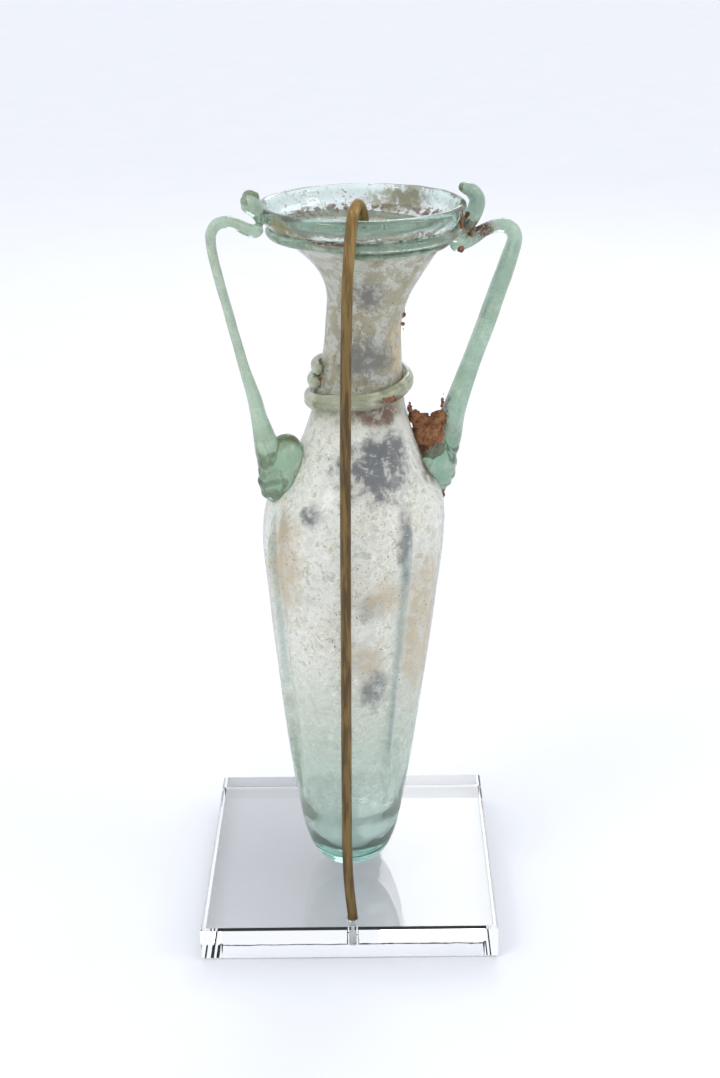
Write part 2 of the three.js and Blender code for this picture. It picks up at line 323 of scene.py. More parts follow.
class Bench:
    """The nodes of one material."""

    def __init__(self, name: str) -> None:
        """Start an empty material with an output node."""
        self.material = bpy.data.materials.new(name)
        self.material.use_nodes = True
        self.tree = self.material.node_tree
        self.tree.nodes.clear()
        self.out = self.tree.nodes.new("ShaderNodeOutputMaterial")
        self.place = self.node("ShaderNodeTexCoord", {}, {}, "Object")

    def node(
        self, kind: str, settings: dict, sockets: dict[str | int, Link], output: str | int = 0,
    ) -> Signal:
        """Add one node.

        Args:
            kind: The node's type.
            settings: Its properties, set first; "stops" holds a ramp's places and colours.
            sockets: Values or links for its inputs, by name or number.
            output: The output to hand back.

        Returns:
            The chosen output as a signal.
        """
        made = self.tree.nodes.new(kind)
        for key, value in settings.items():
            if key == "stops":
                ramp = made.color_ramp.elements
                while len(ramp) < len(value):
                    ramp.new(0.5)
                for element, (place, colour) in zip(ramp, value):
                    element.position = place
                    element.color = colour
            else:
                setattr(made, key, value)
        for key, value in sockets.items():
            if isinstance(value, Signal):
                self.tree.links.new(value.socket, made.inputs[key])
            else:
                made.inputs[key].default_value = value
        return Signal(self, made.outputs[output])

    def maths(self, operation: str, *values: Signal | float) -> Signal:
        """Add a Math node."""
        return self.node("ShaderNodeMath", {"operation": operation}, dict(enumerate(values)))

    def vectors(self, operation: str, *values: Link, output: str = "Vector") -> Signal:
        """Add a Vector Math node."""
        return self.node("ShaderNodeVectorMath", {"operation": operation}, dict(enumerate(values)), output)

    def scaled(self, vector: Link, factor: Signal | float) -> Signal:
        """Make a vector longer or shorter by a factor."""
        sockets = {0: vector, "Scale": factor}
        return self.node("ShaderNodeVectorMath", {"operation": "SCALE"}, sockets, "Vector")

    def blend(self, under: Link, over: Link, share: Signal | float) -> Signal:
        """Lay one colour over another by a share."""
        settings = {"data_type": "RGBA", "clamp_factor": True}
        return self.node("ShaderNodeMix", settings, {0: share, 6: under, 7: over}, 2)

    def cloud(
        self, size: float, detail: float = 3.0, warp: float = 0.0,
        stretch: Sequence[float] = (1, 1, 1), tilt: float = 0.0, rough: float = 0.55,
    ) -> Signal:
        """Give noise from 0 to 1 with humps about size millimetres across.

        Args:
            size: The humps' size.
            detail: How many finer layers are added.
            warp: How far the noise is bent by itself.
            stretch: How much longer the humps are along each axis.
            tilt: How far a long upright hump leans sideways for each millimetre that it rises.
            rough: How strong the finer layers are.

        Returns:
            The noise.
        """
        place = self.place
        if tilt:
            height = self.vectors("DOT_PRODUCT", place, (0, 0, 1), output="Value")
            place = self.vectors("SUBTRACT", place, self.scaled((tilt, 0, 0), height))
        if tuple(stretch) != (1, 1, 1):
            place = self.vectors("DIVIDE", place, stretch)
        sockets = {
            "Vector": place, "Scale": 1 / (size * MM), "Detail": detail,
            "Distortion": warp, "Roughness": rough,
        }
        return self.node("ShaderNodeTexNoise", {"noise_dimensions": "3D"}, sockets, "Fac")

    def along(self, axis: str) -> Signal:
        """Give the place along the axis "X", "Y" or "Z", in millimetres."""
        return self.node("ShaderNodeSeparateXYZ", {}, {"Vector": self.place}, axis) * (1 / MM)

    def height(self) -> Signal:
        """Give the height above the block's underside in millimetres."""
        return self.along("Z")

    def patch(self, middle: Sequence[float], half: Sequence[float], ragged: Signal, soft: float) -> Signal:
        """Give a ragged spot that is 1 at its middle.

        Args:
            middle: Its middle in millimetres.
            half: Its half-sizes in millimetres.
            ragged: A vector that breaks up its edge.
            soft: The share of its reach over which it fades.

        Returns:
            The spot's mask.
        """
        away = self.vectors("SUBTRACT", self.place, [value * MM for value in middle])
        scaled = self.vectors("DIVIDE", away, [value * MM for value in half])
        torn = self.vectors("ADD", scaled, ragged)
        return self.vectors("LENGTH", torn, output="Value").between(1.0 + soft / 2, 1.0 - soft)

    def seam(self, start: Sequence[float], end: Sequence[float], width: float, ragged: Link) -> Signal:
        """Give a mask that is 1 along a straight line.

        Args:
            start: The line's first end in millimetres.
            end: Its other end.
            width: How far the mask reaches to each side, in millimetres.
            ragged: A vector that breaks up its edge.

        Returns:
            The mask.
        """
        along = (Vector(end) - Vector(start)) * MM
        away = self.vectors("SUBTRACT", self.place, [value * MM for value in start])
        share = self.vectors("DOT_PRODUCT", away, tuple(along / along.length_squared), output="Value")
        held = self.maths("MINIMUM", self.maths("MAXIMUM", share, 0.0), 1.0)
        aside = self.vectors("SUBTRACT", away, self.scaled(tuple(along), held))
        torn = self.vectors("ADD", self.vectors("DIVIDE", aside, (width * MM,) * 3), ragged)
        return self.vectors("LENGTH", torn, output="Value").between(1.2, 0.4)

    def ragged(self, size: float, amount: float) -> Signal:
        """Give a vector noise for tearing the edges of patches."""
        sockets = {"Vector": self.place, "Scale": 1 / (size * MM), "Detail": 4.0, "Roughness": 0.65}
        colour = self.node("ShaderNodeTexNoise", {"noise_dimensions": "3D"}, sockets, "Color")
        centred = self.vectors("SUBTRACT", colour, (0.5, 0.5, 0.5))
        return self.scaled(centred, amount)

    def bump(self, height: Signal, depth: float, strength: float = 1.0) -> Signal:
        """Give a normal from a height, where 1 stands depth millimetres proud."""
        sockets = {"Height": height, "Distance": depth * MM, "Strength": strength}
        return self.node("ShaderNodeBump", {}, sockets, "Normal")

    def surface(self, **sockets: Link) -> Signal:
        """Add a Principled shader; underscores in the names stand for spaces."""
        named = {key.replace("_", " "): value for key, value in sockets.items()}
        return self.node("ShaderNodeBsdfPrincipled", {}, named, "BSDF")

    def mixed(self, under: Signal, over: Signal, share: Signal | float) -> Signal:
        """Lay one shader over another by a share."""
        return self.node("ShaderNodeMixShader", {}, {0: share, 1: under, 2: over}, "Shader")

    def finish(
        self, shader: Signal, absorption: tuple[Sequence[float], float] | None = None,
    ) -> bpy.types.Material:
        """Connect the shader, and a plain absorbing volume if one is given.

        Args:
            shader: The surface's shader.
            absorption: The volume's colour and density.

        Returns:
            The finished material.
        """
        self.tree.links.new(shader.socket, self.out.inputs["Surface"])
        if absorption:
            colour, density = absorption
            sockets = {"Color": (*colour, 1), "Density": density}
            volume = self.node("ShaderNodeVolumeAbsorption", {}, sockets, "Volume")
            self.tree.links.new(volume.socket, self.out.inputs["Volume"])
        return self.material


def rgba(red: float, green: float, blue: float) -> tuple[float, float, float, float]:
    """Turn screen values from 0 to 255 into a linear colour."""
    linear = [((c / 255 + 0.055) / 1.055) ** 2.4 if c > 10 else c / 255 / 12.92 for c in (red, green, blue)]
    return (*linear, 1.0)


# ------------------------------------------------------------------ the flask's own frame

def eased(stations: Sequence[Sequence[float]], place: float) -> float:
    """Read a value from (value, place) stations, easing between them."""
    places = [mark for _, mark in stations]
    index = int(np.searchsorted(places, place))
    if index == 0:
        return stations[0][0]
    if index == len(stations):
        return stations[-1][0]
    (before, start), (after, end) = stations[index - 1], stations[index]
    return before + (after - before) * float(smoothstep(place, start, end))


def along_azimuth(azimuth: float, reach: float, height: float) -> tuple[float, float, float]:
    """Give the point at an azimuth, a reach from the axis and a height."""
    angle = math.radians(azimuth)
    return reach * math.sin(angle), -reach * math.cos(angle), height


@dataclass(frozen=True)
class FlaskFrame:
    """Where the flask stands and how it leans and wanders; heights are above its foot."""

    place: tuple[float, float, float] = (-0.2, -5.0, 10.1)
    lean: float = 0.0326
    wander: tuple[tuple[float, float], ...] = (
        (0.3, 0), (-0.3, 50), (-0.6, 95), (0.3, 132), (0.9, 155), (2.9, 171), (0, 186), (0, 190)
    )

    def shift(self, height: float) -> float:
        """Give the sideways wander of the axis at a height."""
        return eased(self.wander, height)

    def placed(self, points: np.ndarray) -> np.ndarray:
        """Lean points and move them to the flask's place on the block."""
        moved = np.array(points, dtype=float)
        moved[:, 0] += self.lean * moved[:, 2]
        return moved + self.place

    def spot(self, azimuth: float, reach: float, height: float) -> tuple[float, float, float]:
        """Give the place, over the block's underside, of a point on the flask."""
        x, y, z = along_azimuth(azimuth, reach, height)
        return tuple(self.placed(np.array([[x + self.shift(height), y, z]]))[0])


FLASK = FlaskFrame()


# ------------------------------------------------------------------ finishes

class Growth(Enum):
    """What has settled on the old glass, with its colour; the grey one also paints the shade beside the
    front right ridge.
    """

    # Grey stains, and the painted shade beside the front right ridge.
    ASH_AND_SHADE = rgba(98, 101, 104)
    TAN = rgba(196, 180, 150)
    SOIL = rgba(96, 54, 32)
    OLIVE = rgba(120, 116, 60)


@dataclass(frozen=True)
class Patch:
    """One stained place on the vessel, or painted shade for the narrow grey one beside the front right
    ridge: where it is and its half-sizes in millimetres.
    """

    growth: Growth
    azimuth: float
    reach: float
    height: float
    half: tuple[float, float, float]
    strength: float = 0.8
    soft: float = 0.7


@dataclass(frozen=True)
class Wear:
    """What the steps of the vessel's finish share: the height over its foot, and its noises."""

    height: Signal
    neck: Signal
    broad: Signal
    grain: Signal
    flake: Signal
    fine: Signal
    torn: Signal


@dataclass(frozen=True)
class WeatheredGlass:
    """Pale aqua glass under a milky skin that is thickest on the upper body."""

    milk: tuple = rgba(244, 244, 233)
    cream: tuple = rgba(222, 214, 192)
    frost: tuple = rgba(206, 222, 202)
    stone: tuple = rgba(186, 188, 172)
    # Near-white of the flaking skin; also used for the painted highlight along the ridge crests.
    flake: tuple = rgba(250, 250, 244)
    neck: tuple = rgba(176, 166, 136)
    ridge_side: tuple = rgba(204, 220, 212)
    speck: tuple = rgba(96, 90, 74)
    pit: tuple = rgba(140, 112, 76)
    blot: tuple = rgba(40, 60, 46)
    clear: tuple = (0.96, 1.0, 0.985, 1)
    teal: tuple = (0.42, 0.62, 0.55, 1)
    aqua: tuple[float, float, float] = (0.5, 0.82, 0.77)
    density: float = 85.0
    ridges: tuple = ((36, 38, 108), (298, 62, 110))
    ridge_reaches: tuple[float, float] = (19.0, 24.6)
    # Ends of the painted shade line beside the front right ridge: azimuth, reach and height.
    painted_shade_line: tuple = ((30.5, 24.3, 110), (30.5, 24.6, 84))
    milky_band: tuple[float, float] = (28, 84)
    stone_band: tuple[float, float] = (30, 80)
    neck_band: tuple[float, float] = (128, 142)
    skin_band: tuple[float, float] = (2, 70)
    funnel_band: tuple[float, float] = (176, 183)
    speck_band: tuple[float, float] = (20, 90)
    pit_band: tuple[float, float] = (60, 110)
    crease_band: tuple[float, float] = (172, 180)
    blot_band: tuple[float, float] = (182, 184)
    soil_line: tuple[float, float, float, float] = (180.0, 181.0, 181.9, 182.8)
    lip_band: tuple[float, float] = (183.4, 184.8)
    lip_depth: tuple[float, float] = (4.0, -18.0)
    lip_share: tuple[float, float] = (0.12, 1.0)
    patches: tuple[Patch, ...] = (
        Patch(Growth.ASH_AND_SHADE, -30, 21.8, 112.0, (3.4, 3.4, 3.2), 0.9),
        Patch(Growth.ASH_AND_SHADE, -50, 22.5, 106.0, (2.4, 2.6, 6.0), 0.85),
        Patch(Growth.ASH_AND_SHADE, 18, 20.0, 63.0, (4.4, 4.0, 6.5), 0.8),
        Patch(Growth.ASH_AND_SHADE, 12, 22.5, 88.0, (4.0, 3.0, 4.0), 0.5),
        Patch(Growth.ASH_AND_SHADE, 18, 17.0, 123.0, (12.0, 9.0, 8.5), 0.95, 0.55),
        Patch(Growth.ASH_AND_SHADE, 30, 16.0, 128.0, (7.0, 8.0, 5.0), 0.9, 0.55),
        Patch(Growth.ASH_AND_SHADE, 6, 9.0, 150.0, (7.0, 5.0, 6.0), 0.8, 0.6),
        Patch(Growth.ASH_AND_SHADE, -6, 10.0, 168.0, (4.5, 4.0, 6.0), 0.8, 0.6),
        # Painted shade: a narrow dark grey streak along the front right ridge's flank.
        Patch(Growth.ASH_AND_SHADE, 34, 23.0, 106.0, (2.2, 3.0, 13.0), 0.7, 0.6),
        Patch(Growth.TAN, 21, 23.0, 90.0, (6.0, 5.0, 5.5), 0.8),
        Patch(Growth.TAN, 10, 21.5, 72.0, (6.5, 4.0, 6.0), 0.75),
        Patch(Growth.TAN, 58, 21.5, 78.0, (8.0, 10.0, 26.0), 0.8, 0.6),
        Patch(Growth.TAN, -48, 22.0, 98.0, (7.0, 7.0, 16.0), 0.8, 0.6),
        Patch(Growth.TAN, 70, 10.0, 152.0, (5.0, 6.0, 12.0), 0.9, 0.55),
        Patch(Growth.SOIL, 64, 18.0, 176.0, (5.0, 6.0, 3.0), 0.85, 0.55),
        Patch(Growth.SOIL, 30, 12.0, 136.0, (8.0, 5.0, 3.4), 0.9, 0.55),
        Patch(Growth.SOIL, 86, 17.5, 119.0, (5.0, 6.0, 5.0), 0.9, 0.55),
        Patch(Growth.OLIVE, -50, 24.0, 183.0, (9.0, 6.0, 4.0), 0.85, 0.55),
        Patch(Growth.OLIVE, 150, 24.5, 184.0, (12.0, 6.0, 4.0), 0.7, 0.6),
    )

    def wear(self, bench: Bench) -> Wear:
        """Set up what the steps of the finish share."""
        height = bench.height() - FLASK.place[2]
        return Wear(
            height=height, neck=height.between(*self.neck_band), broad=bench.cloud(15.0, 4.0, 0.6),
            grain=bench.cloud(3.0, 9.0, 0.5, rough=0.68), flake=bench.cloud(1.5, 9.0, 1.2, rough=0.7),
            fine=bench.cloud(0.7, 5.0), torn=bench.ragged(3.0, 1.7),
        )

    def ground(self, bench: Bench, wear: Wear) -> Signal:
        """Give the skin's broad colours, from the frosted foot to the stained neck."""
        upper = wear.height.between(*self.milky_band)
        colour = bench.blend(self.frost, self.milk, upper)
        colour = bench.blend(colour, self.cream, wear.broad.between(0.45, 0.66) * upper * 0.5)
        stony = wear.grain.between(0.5, 0.6) * wear.height.between(*self.stone_band, 0.3, 0.85)
        colour = bench.blend(colour, self.stone, stony)
        colour = bench.blend(colour, self.flake, wear.flake.between(0.52, 0.62) * 0.75)
        return bench.blend(colour, self.neck, wear.neck * wear.grain.between(0.42, 0.54, 0.25, 1.0))

    def cover(self, bench: Bench, wear: Wear) -> Signal:
        """Give how far the skin hides the glass: least at the foot, under the lip and edge-on."""
        skin = wear.height.between(*self.skin_band, 0.12, 0.9) * wear.neck.between(0, 1, 1.0, 0.7)
        skin = skin * wear.height.between(*self.funnel_band, 1.0, 0.14)
        skin = skin * wear.grain.between(0.38, 0.58, 0.74, 1.0) * wear.broad.between(0.3, 0.6, 0.86, 1.0)
        facing = bench.node("ShaderNodeLayerWeight", {}, {"Blend": 0.5}, "Facing")
        return skin * facing.between(0.62, 1.0, 1.0, 0.3)

    def ridged(self, bench: Bench, colour: Signal, skin: Signal) -> tuple[Signal, Signal]:
        """Thin the skin on the front ridges, with a painted highlight along each crest and greener sides.

        Args:
            bench: The bench of the finish.
            colour: The skin's colour so far.
            skin: How far the skin hides the glass so far.

        Returns:
            The new colour and the new skin.
        """
        low_reach, high_reach = self.ridge_reaches
        for azimuth, low, high in self.ridges:
            start, end = FLASK.spot(azimuth, high_reach, high), FLASK.spot(azimuth, low_reach, low)
            skin = skin * bench.seam(start, end, 2.0, (0, 0, 0)).between(0, 1, 1.0, 0.8)
            colour = bench.blend(colour, self.ridge_side, bench.seam(start, end, 2.2, (0, 0, 0)) * 0.8)
            # Painted highlight: a thin near-white line along each ridge crest, in the flake colour.
            colour = bench.blend(colour, self.flake, bench.seam(start, end, 0.7, (0, 0, 0)) * 0.9)
        return colour, skin

    def stained(self, bench: Bench, wear: Wear, colour: Signal, skin: Signal) -> tuple[Signal, Signal]:
        """Lay the stained patches, and the painted shade along the front right ridge's flank: a dark grey
        line and one narrow grey patch.

        Args:
            bench: The bench of the finish.
            wear: What the steps share.
            colour: The skin's colour so far.
            skin: How far the skin hides the glass so far.

        Returns:
            The new colour and the new skin.
        """
        for patch in self.patches:
            middle = FLASK.spot(patch.azimuth, patch.reach, patch.height)
            mask = bench.patch(middle, patch.half, wear.torn, patch.soft)
            mask = mask * wear.grain.between(0.4, 0.5, 0.3, 1.0) * patch.strength
            colour = bench.blend(colour, patch.growth.value, mask)
            skin = skin | mask
        # Painted shade: a dark grey line along the flank of the front right ridge.
        start, end = (FLASK.spot(*point) for point in self.painted_shade_line)
        dark = bench.seam(start, end, 0.9, wear.torn) * 0.7
        return bench.blend(colour, Growth.ASH_AND_SHADE.value, dark), skin

    def pitted(self, bench: Bench, wear: Wear, colour: Signal, skin: Signal) -> tuple[Signal, Signal]:
        """Scatter the specks and pits, the lip's blots and the line of soil under it.

        Args:
            bench: The bench of the finish.
            wear: What the steps share.
            colour: The skin's colour so far.
            skin: How far the skin hides the glass so far.

        Returns:
            The new colour and the new skin.
        """
        height = wear.height
        specks = wear.fine.between(0.6, 0.67) * wear.broad.between(0.44, 0.62, 0.08, 1.0)
        specks = specks * height.between(*self.speck_band, 0.3, 0.8)
        colour = bench.blend(colour, self.speck, specks)
        where = wear.neck * 0.8 + height.between(*self.pit_band, 0.04, 0.14)
        pits = wear.flake.between(0.44, 0.34) * where
        colour = bench.blend(colour, self.pit, pits)
        blots = bench.cloud(1.6, 4.0).between(0.64, 0.7) * height.between(*self.blot_band)
        blots = blots * wear.broad.between(0.45, 0.6)
        colour = bench.blend(colour, self.blot, blots)
        low, low_full, high_full, high = self.soil_line
        soil = height.between(high, high_full) * height.between(low, low_full)
        soil = soil * bench.cloud(1.8, 8.0).between(0.5, 0.57)
        soil = soil | (pits * height.between(*self.crease_band) * wear.broad.between(0.4, 0.5))
        colour = bench.blend(colour, Growth.SOIL.value, soil * 0.85)
        return colour, skin | (specks * 0.8) | (pits * 0.8) | blots | (soil * 0.9)

    def tint(self, bench: Bench, wear: Wear) -> Signal:
        """Give the bare glass's tint: teal in the thick front of the lip, less round the back."""
        front = bench.along("Y").between(*self.lip_depth, *self.lip_share)
        return bench.blend(self.clear, self.teal, wear.height.between(*self.lip_band) * front)

    def material(self) -> bpy.types.Material:
        """Build the vessel's finish."""
        bench = Bench("weathered_glass")
        wear = self.wear(bench)
        colour, skin = self.ridged(bench, self.ground(bench, wear), self.cover(bench, wear))
        colour, skin = self.stained(bench, wear, colour, skin)
        colour, skin = self.pitted(bench, wear, colour, skin)
        ripple = bench.cloud(8.0, 2.0, stretch=(1, 1, 3))
        glass = bench.surface(
            Base_Color=self.tint(bench, wear), Roughness=0.03, IOR=GLASS_IOR, Transmission_Weight=1.0,
            Normal=bench.bump(ripple, 0.35, 0.5),
        )
        crust = bench.surface(
            Base_Color=colour, Roughness=wear.flake.between(0.35, 0.65, 0.28, 0.6),
            Normal=bench.bump(wear.grain * 0.5 + wear.flake * 0.5, 0.3, 0.6),
        )
        return bench.finish(bench.mixed(glass, crust, skin), (self.aqua, self.density))


@dataclass(frozen=True)
class TrailGlass:
    """Green trailed glass with streaks along it and soil in its creases."""

    name: str
    pale: tuple
    deep: tuple
    deep_spots: tuple = ()
    soil_spots: tuple = ()
    seams: tuple = ()
    stretch: tuple[float, float, float] = (1, 1, 16)
    tilt: float = 0.0
    body: float = 0.45
    veil: tuple = rgba(218, 224, 206)
    speck: tuple = rgba(84, 84, 56)
    clear: tuple = (0.88, 0.97, 0.9, 1)
    green: tuple[float, float, float] = (0.42, 0.74, 0.56)
    density: float = 120.0

    def material(self) -> bpy.types.Material:
        """Build the finish of one trail or handle."""
        bench = Bench(self.name)
        torn = bench.ragged(2.5, 1.4)
        streak = bench.cloud(0.9, 3.0, 0.1, self.stretch, self.tilt)
        broad = bench.cloud(7.0, 4.0, 0.4)
        fine = bench.cloud(0.5, 4.0)
        colour = bench.blend(self.pale, self.deep, streak.between(0.45, 0.68) * 0.55)
        colour = bench.blend(colour, self.veil, broad.between(0.5, 0.68) * 0.5)
        for start, end, width in self.seams:
            colour = bench.blend(colour, Growth.OLIVE.value, bench.seam(start, end, width, torn) * 0.7)
        share = broad.between(0.3, 0.7, self.body - 0.12, self.body + 0.12)
        for spot, half in self.deep_spots:
            near = bench.patch(spot, half, torn, 0.9)
            colour = bench.blend(colour, self.deep, near * 0.85)
        for spot, half in self.soil_spots:
            near = bench.patch(spot, half, torn, 0.6) * fine.between(0.36, 0.52, 0.35, 1.0)
            colour = bench.blend(colour, Growth.SOIL.value, near)
            share = share | near
        specks = fine.between(0.63, 0.7) * 0.7
        colour = bench.blend(colour, self.speck, specks)
        glass = bench.surface(
            Base_Color=self.clear, Roughness=0.05, IOR=GLASS_IOR, Transmission_Weight=1.0,
            Normal=bench.bump(streak, 0.2, 0.5),
        )
        crust = bench.surface(
            Base_Color=colour, Roughness=0.3, Coat_Weight=0.4,
            Normal=bench.bump(streak * 0.7 + fine * 0.3, 0.25, 0.6),
        )
        shader = bench.mixed(glass, crust, share | (specks * 0.8))
        return bench.finish(shader, (self.green, self.density))


@dataclass(frozen=True)
class BurialEarth:
    """Dry red-brown earth."""

    dark: tuple = rgba(96, 56, 34)
    warm: tuple = rgba(150, 104, 70)
    dust: tuple = rgba(186, 160, 126)

    def material(self) -> bpy.types.Material:
        """Build the earth's finish."""
        bench = Bench("burial_earth")
        coarse = bench.cloud(1.8, 6.0)
        fine = bench.cloud(0.5, 5.0)
        colour = bench.blend(self.dark, self.warm, coarse.between(0.35, 0.65))
        colour = bench.blend(colour, self.dust, fine.between(0.6, 0.72) * 0.7)
        normal = bench.bump(coarse * 0.5 + fine * 0.5, 0.4, 0.9)
        return bench.finish(bench.surface(Base_Color=colour, Roughness=0.95, Normal=normal))


@dataclass(frozen=True)
class AgedBrass:
    """Brown patinated brass, brighter towards its bend."""

    dull: tuple = (rgba(82, 64, 36), rgba(124, 102, 62))
    bright: tuple = (rgba(126, 98, 54), rgba(164, 134, 80))
    bright_band: tuple[float, float] = (165, 200)

    def material(self) -> bpy.types.Material:
        """Build the rod's finish."""
        bench = Bench("aged_brass")
        z = bench.height()
        streak = bench.cloud(1.2, 5.0, 0.3, (1, 1, 9))
        dull = bench.blend(*self.dull, streak.between(0.38, 0.62))
        bright = bench.blend(*self.bright, streak.between(0.4, 0.62))
        colour = bench.blend(dull, bright, z.between(*self.bright_band) * 0.75)
        return bench.finish(bench.surface(
            Base_Color=colour, Metallic=streak.between(0.35, 0.7, 0.45, 0.8),
            Roughness=streak.between(0.35, 0.65, 0.5, 0.36), Normal=bench.bump(streak, 0.05, 0.5),
        ))


@dataclass(frozen=True)
class ClearAcrylic:
    """Polished clear acrylic."""

    clear: tuple = (0.985, 0.99, 0.99, 1)

    def material(self) -> bpy.types.Material:
        """Build the block's finish."""
        bench = Bench("clear_acrylic")
        return bench.finish(bench.surface(
            Base_Color=self.clear, Roughness=0.01, IOR=ACRYLIC_IOR, Transmission_Weight=1.0,
            Normal=bench.bump(bench.cloud(9.0, 3.0), 0.02, 0.3),
        ))


@dataclass(frozen=True)
class DrillFrost:
    """The frosted white wall of the drilled hole, with grey specks."""

    white: tuple = rgba(238, 238, 238)
    grey: tuple = rgba(110, 112, 116)

    def material(self) -> bpy.types.Material:
        """Build the lining's finish."""
        bench = Bench("drill_frost")
        fine = bench.cloud(0.8, 4.0)
        colour = bench.blend(self.white, self.grey, fine.between(0.56, 0.68))
        normal = bench.bump(fine, 0.1, 0.5)
        return bench.finish(bench.surface(Base_Color=colour, Roughness=0.6, Normal=normal))


# ------------------------------------------------------------------ the vessel

@dataclass
class Vessel:
    """The blown body with its pinched ridges, neck, funnel and rounded lip."""

    outline: tuple = (
        (0, 0), (5.4, 0.9), (10, 4.1), (12.7, 10.5), (15.4, 25), (18.8, 50), (22.1, 80), (23.9, 103),
        (22.4, 112), (18.4, 118.4), (14.5, 127), (11.9, 135.5), (10.2, 148), (9.7, 158), (10.9, 165.6),
        (14.8, 172.7), (20, 178.4), (24.1, 182.6),
    )
    lip_radius: float = 25.7
    lip_under: float = 184.6
    lip_top: float = 187.3
    lip_roll: float = 1.25
    lip_points: int = 12
    lip_step: float = 0.2
    body_wall: float = 1.5
    neck_wall: float = 1.4
    wall_band: tuple[float, float] = (120, 160)
    inner_floor: tuple = ((12.0, 17.0), (10.9, 12.0), (8.4, 7.6), (4.6, 5.2), (0, 4.6))
    floor_from: float = 20.0
    ridges: tuple[float, ...] = (36, 124, 212, 298)
    crest: float = 2.3
    crest_half: float = 3.2
    ridge_start: tuple[float, float] = (22, 44)
    ridge_end: tuple[float, float] = (100, 110)
    trough: float = 1.2
    trough_half: float = 13.0
    around: int = 240
    per_span: int = 9
    ripple: float = 0.16
    ripple_size: float = 7.0

    def outer(self) -> np.ndarray:
        """Give the outer profile from the foot to the lip's start."""
        return rounded_curve(self.outline, self.per_span)

    def radius_at(self, height: float) -> float:
        """Give the outer radius at a height."""
        rows = self.outer()
        return float(np.interp(height, rows[:, 1], rows[:, 0]))

    def relief(self, azimuths: np.ndarray, height: float, with_crest: bool) -> np.ndarray:
        """Give the ridges' lift and their troughs round one ring."""
        strength = float(smoothstep(height, *self.ridge_start) - smoothstep(height, *self.ridge_end))
        away = np.min([np.abs((azimuths - at + 180) % 360 - 180) for at in self.ridges], axis=0)
        lift = self.crest * np.exp(-((away / self.crest_half) ** 2)) if with_crest else 0.0
        return strength * (lift - self.trough * np.exp(-((away / self.trough_half) ** 2)))

    def profile(self) -> tuple[np.ndarray, int]:
        """Give the whole profile, foot to lip and down inside, and where its outer part ends."""
        outer = self.outer()
        angles = np.linspace(0, math.pi, self.lip_points)
        middle = self.lip_radius - self.lip_roll, self.lip_top - self.lip_roll
        lip = np.c_[middle[0] + self.lip_roll * np.cos(angles), middle[1] + self.lip_roll * np.sin(angles)]
        lip = np.vstack([[self.lip_radius - self.lip_step, self.lip_under], lip])
        kept = outer[outer[:, 1] > self.floor_from][::-1]
        share = smoothstep(kept[:, 1], *self.wall_band)
        thick = self.body_wall + (self.neck_wall - self.body_wall) * share
        inner = np.c_[kept[:, 0] - thick, kept[:, 1]]
        bottom = rounded_curve([inner[-1], *self.inner_floor], 6)[1:]
        return np.vstack([outer, lip, inner, bottom]), len(outer)

    def build(self) -> bpy.types.Object:
        """Turn the profile into the vessel."""
        profile, outer_count = self.profile()
        azimuths = np.linspace(0, 360, self.around, endpoint=False)
        turn = np.radians(azimuths)
        rings = []
        for i in range(1, len(profile) - 1):
            radius, height = profile[i]
            ring = radius + self.relief(azimuths, height, i < outer_count) * (radius > 1)
            rings.append(np.c_[
                ring * np.sin(turn) + FLASK.shift(height), -ring * np.cos(turn), np.full(self.around, height)
            ])
        foot, floor = profile[0, 1], profile[-1, 1]
        vertices, faces = skin(np.array(rings), (FLASK.shift(foot), 0, foot), (FLASK.shift(floor), 0, floor))
        return mesh_piece("vessel_glass", FLASK.placed(vertices), faces)

    def dress(self) -> None:
        """Build the vessel, ripple it by hand's unevenness and finish it."""
        piece = self.build()
        pushed(piece, lambda places, _: self.ripple * waves(places / (1, 1, 2.6), self.ripple_size, 1.0))
        dress(piece, WeatheredGlass().material(), "weathered_glass", "flask_vessel")


VESSEL = Vessel()


# ------------------------------------------------------------------ trails wound round it

def wound(
    start: float, sweep: float, height: Callable[[float], float], stand_off: Callable[[float], float],
    half: Callable[[float], tuple[float, float]], steps: int, around: int = 24,
    relief: Callable[[float, float], float] | None = None,
) -> tuple[np.ndarray, list]:
    """Wind a strand round the vessel.

    Args:
        start: The azimuth of its start.
        sweep: How many degrees it goes round.
        height: Its height from the share along it.
        stand_off: How far its middle stays off the wall.
        half: Its outward and upright half-sizes.
        steps: How many rings it has.
        around: How many points each ring has.
        relief: Extra radius along and round it.

    Returns:
        The vertices and the faces.
    """
    line, sides, halves = [], [], []
    for share in np.linspace(0, 1, steps):
        level = height(share)
        x, y, z = along_azimuth(start + sweep * share, VESSEL.radius_at(level) + stand_off(share), level)
        line.append((x + FLASK.shift(level), y, z))
        sides.append((x, y, 0))
        halves.append(half(share))
    return strand(np.array(line), np.array(sides), np.array(halves), around, relief)


